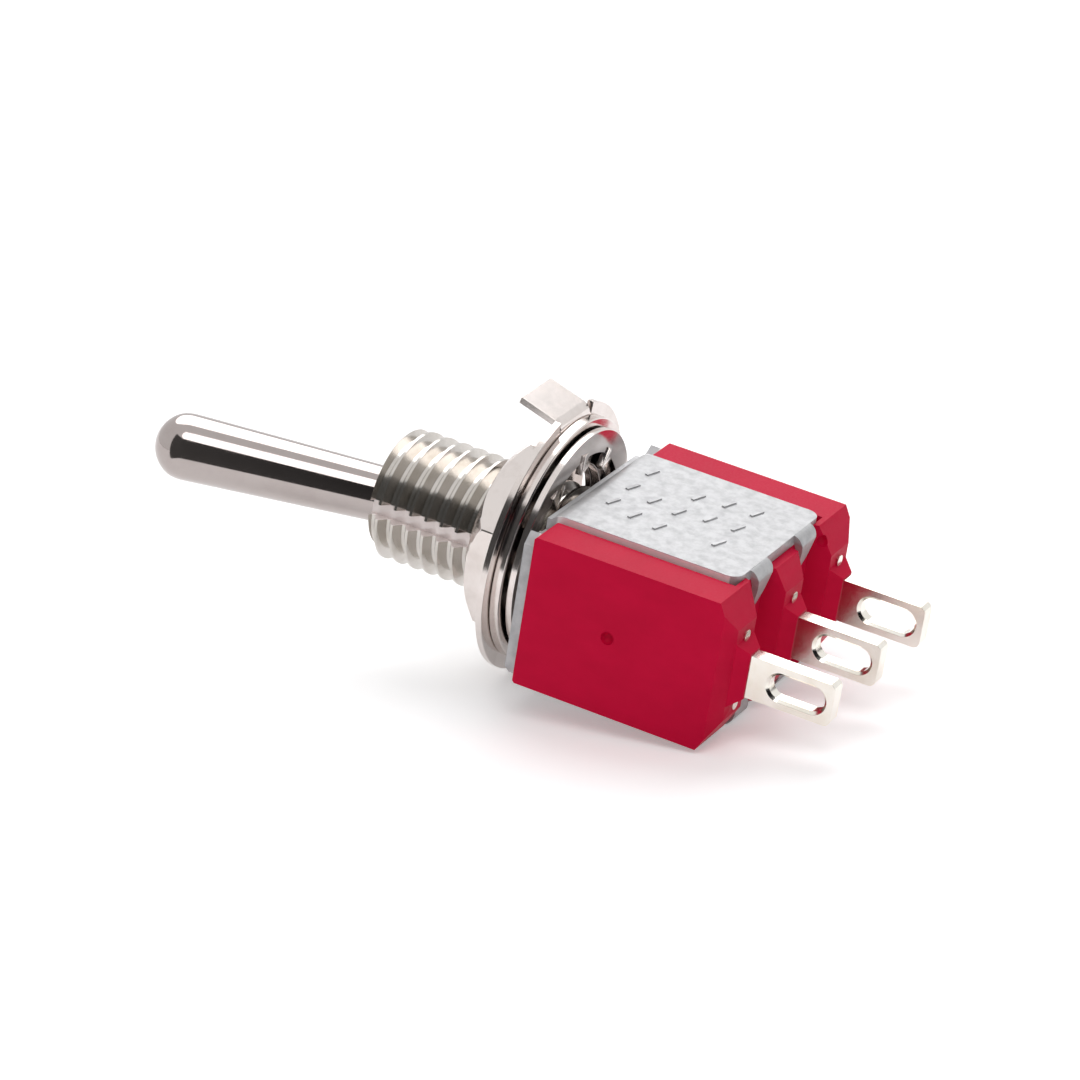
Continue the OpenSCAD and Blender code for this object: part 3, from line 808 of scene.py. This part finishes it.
class NodeGroup:
    """A Geometry Nodes tree with named inputs."""

    def __init__(self, name: str) -> None:
        """Starts a tree that has a geometry input and output.

        Args:
            name: The tree's name.
        """
        self.tree = bpy.data.node_groups.new(name, "GeometryNodeTree")
        self.tree.interface.new_socket("Geometry", in_out="INPUT", socket_type="NodeSocketGeometry")
        self.tree.interface.new_socket("Geometry", in_out="OUTPUT", socket_type="NodeSocketGeometry")
        self.sockets: dict[str, str] = {}
        self.start = self.tree.nodes.new("NodeGroupInput")
        self.end = self.tree.nodes.new("NodeGroupOutput")

    def value(self, name: str, kind: str = "NodeSocketFloat") -> None:
        """Adds a named input to the tree.

        Args:
            name: The input's name.
            kind: Its socket type.
        """
        self.sockets[name] = self.tree.interface.new_socket(name, in_out="INPUT", socket_type=kind).identifier

    def add(self, kind: str, inputs: dict | None = None, **options: object) -> bpy.types.Node:
        """Adds a node to the tree, as add_node does."""
        return add_node(self.tree, kind, inputs, **options)

    def run(self, piece: bpy.types.Object, values: dict[str, object]) -> bpy.types.Mesh:
        """Runs the tree on a piece.

        Args:
            piece: The piece that holds the input mesh.
            values: The tree's inputs by name.

        Returns:
            The result as a plain mesh.
        """
        modifier = piece.modifiers.new(self.tree.name, "NODES")
        modifier.node_group = self.tree
        for name, value in values.items():
            modifier[self.sockets[name]] = value
        bpy.context.view_layer.update()
        evaluated = piece.evaluated_get(bpy.context.evaluated_depsgraph_get())
        mesh = bpy.data.meshes.new_from_object(evaluated)
        piece.modifiers.remove(modifier)
        return mesh


@dataclass
class ThreadedBushing:
    """The bushing with its thread cut: a groove that follows a helix."""

    major_r: float = 2.95
    front_z: float = 9.0
    front_chamfer: float = 0.2
    neck_r: float = 2.55
    head_r: float = 2.85
    head_chamfer: float = 0.15
    strap_t: float = 0.5
    head_h: float = 0.4
    seat_r: float = 1.8
    seat_z: float = 5.9
    lip_r: float = 1.5
    mouth_r: float = 2.07
    key_w: float = 0.65
    key_depth: float = 0.6
    key_turn_deg: float = 184.0
    key_foot: float = 0.3
    pitch: float = 0.75
    depth: float = 0.42
    crest: float = 0.12
    flank_deg: float = 30.0
    start_z: float = 0.2
    end_z: float = 9.4
    steps_per_turn: int = 64
    proud: float = 0.04
    key_reach: float = 1.0
    seat_steps: int = 10
    sides: int = 144
    sharp_deg: float = 28.0

    def blank(self) -> bpy.types.Mesh:
        """Turns the bushing as it is before its thread and keyway are cut.

        Returns:
            The closed mesh.
        """
        low = -self.strap_t - self.head_h
        lip_deg = math.degrees(math.acos(self.lip_r / self.seat_r))
        outline = [
            (self.seat_r, low),
            (self.head_r - self.head_chamfer, low),
            (self.head_r, low + self.head_chamfer),
            (self.head_r, -self.strap_t),
            (self.neck_r, -self.strap_t),
            (self.neck_r, 0.0),
            (self.major_r, 0.0),
            (self.major_r, self.front_z - self.front_chamfer),
            (self.major_r - self.front_chamfer, self.front_z),
            (self.mouth_r, self.front_z),
        ]
        outline += arc(self.seat_r, (0.0, self.seat_z), lip_deg, 0.0, self.seat_steps)
        return turned_mesh(outline, self.sides, hollow=True)

    def cutting_tree(self) -> NodeGroup:
        """Builds the tree that cuts a helical groove and a keyway into its input.

        Returns:
            The tree.
        """
        group = NodeGroup("thread_and_keyway")
        for name in ("Radius", "Height", "Turns", "Start", "Root width", "Mouth width", "Groove depth",
                     "Key turn"):
            group.value(name)
        for name in ("Key size", "Key place"):
            group.value(name, "NodeSocketVector")
        group.value("Steps", "NodeSocketInt")
        group.value("Finish", "NodeSocketMaterial")
        put = group.start.outputs
        helix = group.add(
            "GeometryNodeCurveSpiral",
            {
                "Resolution": put["Steps"],
                "Rotations": put["Turns"],
                "Start Radius": put["Radius"],
                "End Radius": put["Radius"],
                "Height": put["Height"],
            },
        )
        lift = group.add("ShaderNodeCombineXYZ", {"Z": put["Start"]})
        raised = group.add(
            "GeometryNodeTransform", {"Geometry": helix.outputs[0], "Translation": lift.outputs[0]},
        )
        upright = group.add("GeometryNodeSetCurveNormal", {"Curve": raised.outputs[0]}, mode="Z_UP")
        section = group.add(
            "GeometryNodeCurvePrimitiveQuadrilateral",
            {"Height": put["Groove depth"], "Bottom Width": put["Root width"],
             "Top Width": put["Mouth width"], "Offset": 0.0},
            mode="TRAPEZOID",
        )
        turned = group.add(
            "GeometryNodeTransform", {"Geometry": section.outputs[0], "Rotation": (0.0, 0.0, math.pi / 2)},
        )
        groove = group.add(
            "GeometryNodeCurveToMesh",
            {"Curve": upright.outputs[0], "Profile Curve": turned.outputs[0], "Fill Caps": True},
        )
        bar = group.add("GeometryNodeMeshCube", {"Size": put["Key size"]})
        placed = group.add(
            "GeometryNodeTransform", {"Geometry": bar.outputs[0], "Translation": put["Key place"]},
        )
        turn = group.add("ShaderNodeCombineXYZ", {"Z": put["Key turn"]})
        keyway = group.add(
            "GeometryNodeTransform", {"Geometry": placed.outputs[0], "Rotation": turn.outputs[0]},
        )
        threaded = self._cut(group, put["Geometry"], groove.outputs[0])
        keyed = self._cut(group, threaded, keyway.outputs[0])
        real = group.add("GeometryNodeRealizeInstances", {0: keyed})
        painted = group.add(
            "GeometryNodeSetMaterial", {"Geometry": real.outputs[0], "Material": put["Finish"]},
        )
        feed(group.tree, group.end.inputs[0], painted.outputs[0])
        return group

    @staticmethod
    def _cut(group: NodeGroup, solid: bpy.types.NodeSocket,
             tool: bpy.types.NodeSocket) -> bpy.types.NodeSocket:
        """Adds a step that cuts a tool out of a solid.

        Args:
            group: The tree.
            solid: The solid's socket.
            tool: The tool's socket.

        Returns:
            The socket of what is left.
        """
        inputs = {0: solid, 1: tool}
        return group.add("GeometryNodeMeshBoolean", inputs, operation="DIFFERENCE", solver="EXACT").outputs[0]

    def dress(self, palette: Palette) -> None:
        """Cuts the thread and the keyway and gives the bushing its finish.

        Args:
            palette: The materials.
        """
        piece = put_in_scene(self.blank(), "looks_bushing")
        mouth_at_crest = self.pitch - self.crest
        slope = 2 * math.tan(math.radians(self.flank_deg))
        turns = (self.end_z - self.start_z) / self.pitch
        key_low, key_high = self.key_foot, self.front_z + self.key_reach
        key_in, key_out = self.major_r - self.key_depth, self.major_r + self.key_reach
        mesh = self.cutting_tree().run(
            piece,
            {
                "Radius": (self.major_r + (self.proud - self.depth) / 2) * MM,
                "Height": (self.end_z - self.start_z) * MM,
                "Turns": turns,
                "Start": self.start_z * MM,
                "Root width": (mouth_at_crest - slope * self.depth) * MM,
                "Mouth width": (mouth_at_crest + slope * self.proud) * MM,
                "Groove depth": (self.depth + self.proud) * MM,
                "Key turn": math.radians(self.key_turn_deg),
                "Key size": ((key_out - key_in) * MM, self.key_w * MM, (key_high - key_low) * MM),
                "Key place": ((key_in + key_out) / 2 * MM, 0.0, (key_low + key_high) / 2 * MM),
                "Steps": self.steps_per_turn,
                "Finish": palette[Slot.NICKEL],
            },
        )
        piece.data = mesh
        smooth_between(mesh, self.sharp_deg)
        finish_piece(piece, Body.SWITCH, Slot.NICKEL, palette, "bushing")


@dataclass
class Lever:
    """The bat lever: a turned bat with a rounded tip, a ball and a shank."""

    pivot_z: float = 5.9
    lean_deg: float = -13.0
    length: float = 13.95
    tip_d: float = 3.0
    root_d: float = 2.36
    cap_h: float = 1.25
    cap_corner: float = 0.3
    ball_d: float = 3.5
    shank_d: float = 1.4
    shank_l: float = 8.2
    end_chamfer: float = 0.06
    bat_foot: float = 1.3
    ball_steps: int = 28
    bat_steps: int = 15
    corner_steps: int = 8
    cap_steps: int = 25
    sides: int = 160
    sharp_deg: float = 34.0

    def profile(self) -> Outline:
        """Draws the outline, from the shank's end to the tip.

        Returns:
            Radius and height of each point in millimetres.
        """
        ball_r, shank_r, root_r, tip_r = self.ball_d / 2, self.shank_d / 2, self.root_d / 2, self.tip_d / 2
        points = [(0.0, -self.shank_l), (shank_r - self.end_chamfer, -self.shank_l),
                  (shank_r, -self.shank_l + self.end_chamfer)]
        low = -math.degrees(math.acos(shank_r / ball_r))
        high = math.degrees(math.acos(root_r / ball_r))
        points += arc(ball_r, (0.0, 0.0), low, high, self.ball_steps)
        top = self.length - self.cap_h
        for i in range(1, self.bat_steps):
            share = i / self.bat_steps
            points.append((root_r + (tip_r - root_r) * share, self.bat_foot + (top - self.bat_foot) * share))
        cap_r = (tip_r ** 2 + self.cap_h ** 2) / (2 * self.cap_h)
        start = math.asin(tip_r / cap_r) - self.cap_corner / cap_r
        cap = arc(cap_r, (0.0, self.length - cap_r), 90.0 - math.degrees(start), 90.0, self.cap_steps)
        points += self._rounded_corner(top, Vector(cap[0]))
        points += cap[1:-1]
        points.append((0.0, self.length))
        return points

    def _rounded_corner(self, top: float, end: Vector) -> Outline:
        """Points that round the corner between the bat and its cap.

        Args:
            top: Height of the corner.
            end: Where the rounding meets the cap.

        Returns:
            Radius and height of each point.
        """
        tip_r = self.tip_d / 2
        flare = (self.tip_d - self.root_d) / 2 / (top - self.bat_foot)
        start = Vector((tip_r - flare * self.cap_corner, top - self.cap_corner))
        corner = Vector((tip_r, top))
        shares = (i / self.corner_steps for i in range(self.corner_steps + 1))
        return [tuple(start * (1 - t) ** 2 + corner * 2 * t * (1 - t) + end * t ** 2) for t in shares]

    def build(self) -> bpy.types.Object:
        """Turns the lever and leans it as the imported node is.

        Returns:
            The lever.
        """
        mesh = turned_mesh(self.profile(), self.sides)
        lift = Matrix.Translation((0.0, 0.0, self.pivot_z * MM))
        mesh.transform(lift @ Matrix.Rotation(math.radians(self.lean_deg), 4, "Y"))
        smooth_between(mesh, self.sharp_deg)
        return put_in_scene(mesh, "looks_toggle_lever")

    def dress(self, palette: Palette) -> None:
        """Builds the lever and gives it its finish.

        Args:
            palette: The materials.
        """
        finish_piece(self.build(), Body.LEVER, Slot.LEVER, palette, "toggle_lever")


Piece = EdgedNode | PlainNode | ThreadedBushing | Lever


# ---------- studio ----------


@dataclass(frozen=True)
class Lamp:
    """A round softbox, placed by its elevation from the camera's side over the top."""

    name: str
    elevation_deg: float
    spread_deg: float
    strength: float


@dataclass
class Studio:
    """The camera, the pale floor that the switch lies on, two softboxes and a dark card."""

    lens_mm: float = 162.96
    sensor_mm: float = 36.0
    clip_m: Span = (0.005, 20.0)
    camera_mm: tuple[float, float, float] = (-174.4395437, -90.6074887, -73.6169062)
    camera_right: tuple[float, float, float] = (0.4557339, -0.1444318, -0.87832)
    camera_up: tuple[float, float, float] = (0.3257049, -0.8912573, 0.3155578)
    camera_back: tuple[float, float, float] = (-0.8283857, -0.4298835, -0.359134)
    floor_half: float = 1.6
    floor_gap_mm: float = 0.02
    floor_colour: Colour = (0.93, 0.925, 0.93)
    floor_shade: float = 0.992
    floor_mottle: Fractal = Fractal(0.03, 2.0, 0.5)
    floor_span: Span = (0.3, 0.7)
    floor_roughness: float = 0.9
    ambient: float = 0.42
    floor_glow: float = 0.3
    lamps: tuple[Lamp, ...] = (
        Lamp("far_softbox", elevation_deg=128.0, spread_deg=53.0, strength=1.75),
        Lamp("near_softbox", elevation_deg=57.0, spread_deg=32.0, strength=0.62),
    )
    card_distance_mm: float = 36.0
    card_top_deg: float = 45.0
    card_half_turn_deg: float = 78.0
    card_steps: int = 32
    card_fade: Span = (0.35, 0.85)
    card_black: Colour = (0.012, 0.011, 0.013)
    card_grey: Colour = (0.10, 0.10, 0.098)
    resting: tuple[str, ...] = ("case", "strap")
    leaning: str = "locking_ring"
    steepest_deg: float = 40.0
    halvings: int = 40

    def camera(self) -> None:
        """Places the camera."""
        data = bpy.data.cameras.new("camera")
        data.lens = self.lens_mm
        data.sensor_width = self.sensor_mm
        data.clip_start, data.clip_end = self.clip_m
        item = bpy.data.objects.new("camera", data)
        turn = Matrix((self.camera_right, self.camera_up, self.camera_back)).transposed().to_4x4()
        item.matrix_world = Matrix.Translation(Vector(self.camera_mm) * MM) @ turn
        bpy.context.scene.collection.objects.link(item)
        bpy.context.scene.camera = item

    def floor_up(self) -> tuple[Vector, float]:
        """The floor's upward direction and its distance below the frame's origin.

        The switch lies on its side: one edge of the body and the rim of the
        locking ring touch the floor, so the floor leans until both do.

        Returns:
            The direction and the distance in metres.
        """
        body = [v.co for n in self.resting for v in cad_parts[n].data.vertices]
        rim = [v.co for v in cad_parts[self.leaning].data.vertices]
        low, high = 0.0, self.steepest_deg
        for _ in range(self.halvings):
            middle = (low + high) / 2
            down = self._down(middle)
            if max(down.dot(p) for p in rim) > max(down.dot(p) for p in body):
                low = middle
            else:
                high = middle
        down = self._down(low)
        return -down, max(down.dot(p) for p in body)

    def _down(self, tilt_deg: float) -> Vector:
        """Returns the downward direction for a tilt of the floor in degrees."""
        tilt = math.radians(tilt_deg)
        return Vector((0.0, math.cos(tilt), -math.sin(tilt)))

    def floor(self) -> tuple[Vector, float]:
        """Builds the floor.

        Returns:
            The floor's upward direction and its distance below the frame's origin.
        """
        up, drop = self.floor_up()
        side = Vector((1.0, 0.0, 0.0))
        ahead = up.cross(side)
        mesh = bpy.data.meshes.new("floor")
        centre = up * -(drop + self.floor_gap_mm * MM)
        signs = ((-1, -1), (1, -1), (1, 1), (-1, 1))
        corners = [tuple(centre + (side * a + ahead * b) * self.floor_half) for a, b in signs]
        mesh.from_pydata(corners, [], [(0, 1, 2, 3)])
        if mesh.polygons[0].normal.dot(up) < 0:
            mesh.flip_normals()
        item = put_in_scene(mesh, "floor")
        item.visible_shadow = False
        sheet = Shader("pale_table")
        mottle = sheet.fit(sheet.noise(sheet.place_mm(), self.floor_mottle), *self.floor_span, 0.0, 1.0)
        shade = tuple(c * self.floor_shade for c in self.floor_colour)
        sheet.set(
            Base_Color=sheet.blend(mottle, self.floor_colour, shade),
            Roughness=self.floor_roughness,
            Specular_IOR_Level=0.0,
            Emission_Color=WHITE,
            Emission_Strength=sheet.math("MULTIPLY", seen_rays(sheet.tree), self.floor_glow),
        )
        clear = sheet.add("ShaderNodeBsdfTransparent")
        from_below = sheet.add("ShaderNodeNewGeometry").outputs["Backfacing"]
        mix = sheet.add(
            "ShaderNodeMixShader", {0: from_below, 1: sheet.surface.outputs[0], 2: clear.outputs[0]},
        )
        feed(sheet.tree, sheet.output.inputs["Surface"], mix.outputs[0])
        mesh.materials.append(sheet.material)
        return up, drop

    def world(self) -> None:
        """A white surround for sight and reflections, and a softer one for light."""
        world = bpy.data.worlds.new("surround")
        bpy.context.scene.world = world
        world.use_nodes = True
        tree = world.node_tree
        sky = tree.nodes["Background"]
        inputs = {"Value": seen_rays(tree), "To Min": self.ambient, "To Max": 1.0}
        level = add_node(tree, "ShaderNodeMapRange", inputs)
        feed(tree, sky.inputs["Strength"], level.outputs["Result"])
        feed(tree, sky.inputs["Color"], WHITE)

    def towards_camera(self, up: Vector) -> Vector:
        """The level direction towards the camera.

        Args:
            up: The floor's upward direction.

        Returns:
            The direction along the floor.
        """
        towards = Vector(self.camera_mm)
        return (towards - up * towards.dot(up)).normalized()

    def light(self, lamp: Lamp, up: Vector) -> None:
        """Places a softbox.

        Args:
            lamp: The softbox.
            up: The floor's upward direction.
        """
        data = bpy.data.lights.new(lamp.name, "SUN")
        data.energy = lamp.strength
        data.angle = math.radians(lamp.spread_deg)
        item = bpy.data.objects.new(lamp.name, data)
        lift = math.radians(lamp.elevation_deg)
        towards = self.towards_camera(up) * math.cos(lift) + up * math.sin(lift)
        item.rotation_euler = towards.to_track_quat("Z", "Y").to_euler()
        bpy.context.scene.collection.objects.link(item)

    def dark_card(self, up: Vector, drop: float) -> None:
        """A dark card that stands round the camera's side, seen only in reflections.

        Args:
            up: The floor's upward direction.
            drop: The floor's distance below the frame's origin.
        """
        towards = self.towards_camera(up)
        across = up.cross(towards)
        distance = self.card_distance_mm * MM
        top = distance * math.tan(math.radians(self.card_top_deg))
        points = []
        for i in range(self.card_steps + 1):
            turn = math.radians(self.card_half_turn_deg * (2 * i / self.card_steps - 1))
            foot = (towards * math.cos(turn) + across * math.sin(turn)) * distance
            points += [tuple(foot - up * drop), tuple(foot + up * top)]
        faces = [(2 * i, 2 * i + 1, 2 * i + 3, 2 * i + 2) for i in range(self.card_steps)]
        mesh = bpy.data.meshes.new("dark_card")
        mesh.from_pydata(points, [], faces)
        item = put_in_scene(mesh, "dark_card")
        item.visible_camera = False
        item.visible_diffuse = False
        item.visible_shadow = False
        item.visible_transmission = False
        sheet = Shader("dark_card")
        begin, end = (-self.card_distance_mm * share for share in self.card_fade)
        fade = sheet.fit(sheet.along(tuple(across)), begin, end, 0.0, 1.0)
        sheet.set(
            Base_Color=BLACK,
            Roughness=1.0,
            Specular_IOR_Level=0.0,
            Emission_Color=sheet.blend(fade, self.card_black, self.card_grey),
            Emission_Strength=1.0,
        )
        mesh.materials.append(sheet.material)

    def build(self) -> None:
        """Builds the whole studio."""
        bpy.context.scene.view_settings.view_transform = "Standard"
        self.camera()
        up, drop = self.floor()
        self.world()
        for lamp in self.lamps:
            self.light(lamp, up)
        self.dark_card(up, drop)
        LOG.info("studio built, floor faces (%.3f, %.3f, %.3f)", *up)


def main() -> None:
    """Builds the studio and every piece in order."""
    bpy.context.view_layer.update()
    palette = Palette()
    Studio().build()
    pieces: list[Piece] = [
        EdgedNode("case", Slot.RED, edge_mm=0.07),
        EdgedNode("strap", Slot.STRAP, edge_mm=0.05),
        ThreadedBushing(),
        Lever(),
        *(EdgedNode(f"{place}_terminal", Slot.TINNED, edge_mm=0.04) for place in ("left", "centre", "right")),
        EdgedNode("hex_nut", Slot.HARDWARE, edge_mm=0.06),
        EdgedNode("locking_ring", Slot.HARDWARE, edge_mm=0.05),
        EdgedNode("plain_washer", Slot.HARDWARE, edge_mm=0.05),
        EdgedNode("tooth_washer", Slot.HARDWARE, edge_mm=0.04),
        PlainNode("plunger", Slot.WHITE),
        PlainNode("plunger_spring", Slot.SPRING),
        PlainNode("rocker", Slot.BRASS),
        *(PlainNode(f"{side}_{kind}_contact", Slot.SILVER)
          for kind in ("moving", "fixed") for side in ("left", "right")),
    ]
    for piece in pieces:
        piece.dress(palette)


if __name__ == "__main__":
    main()
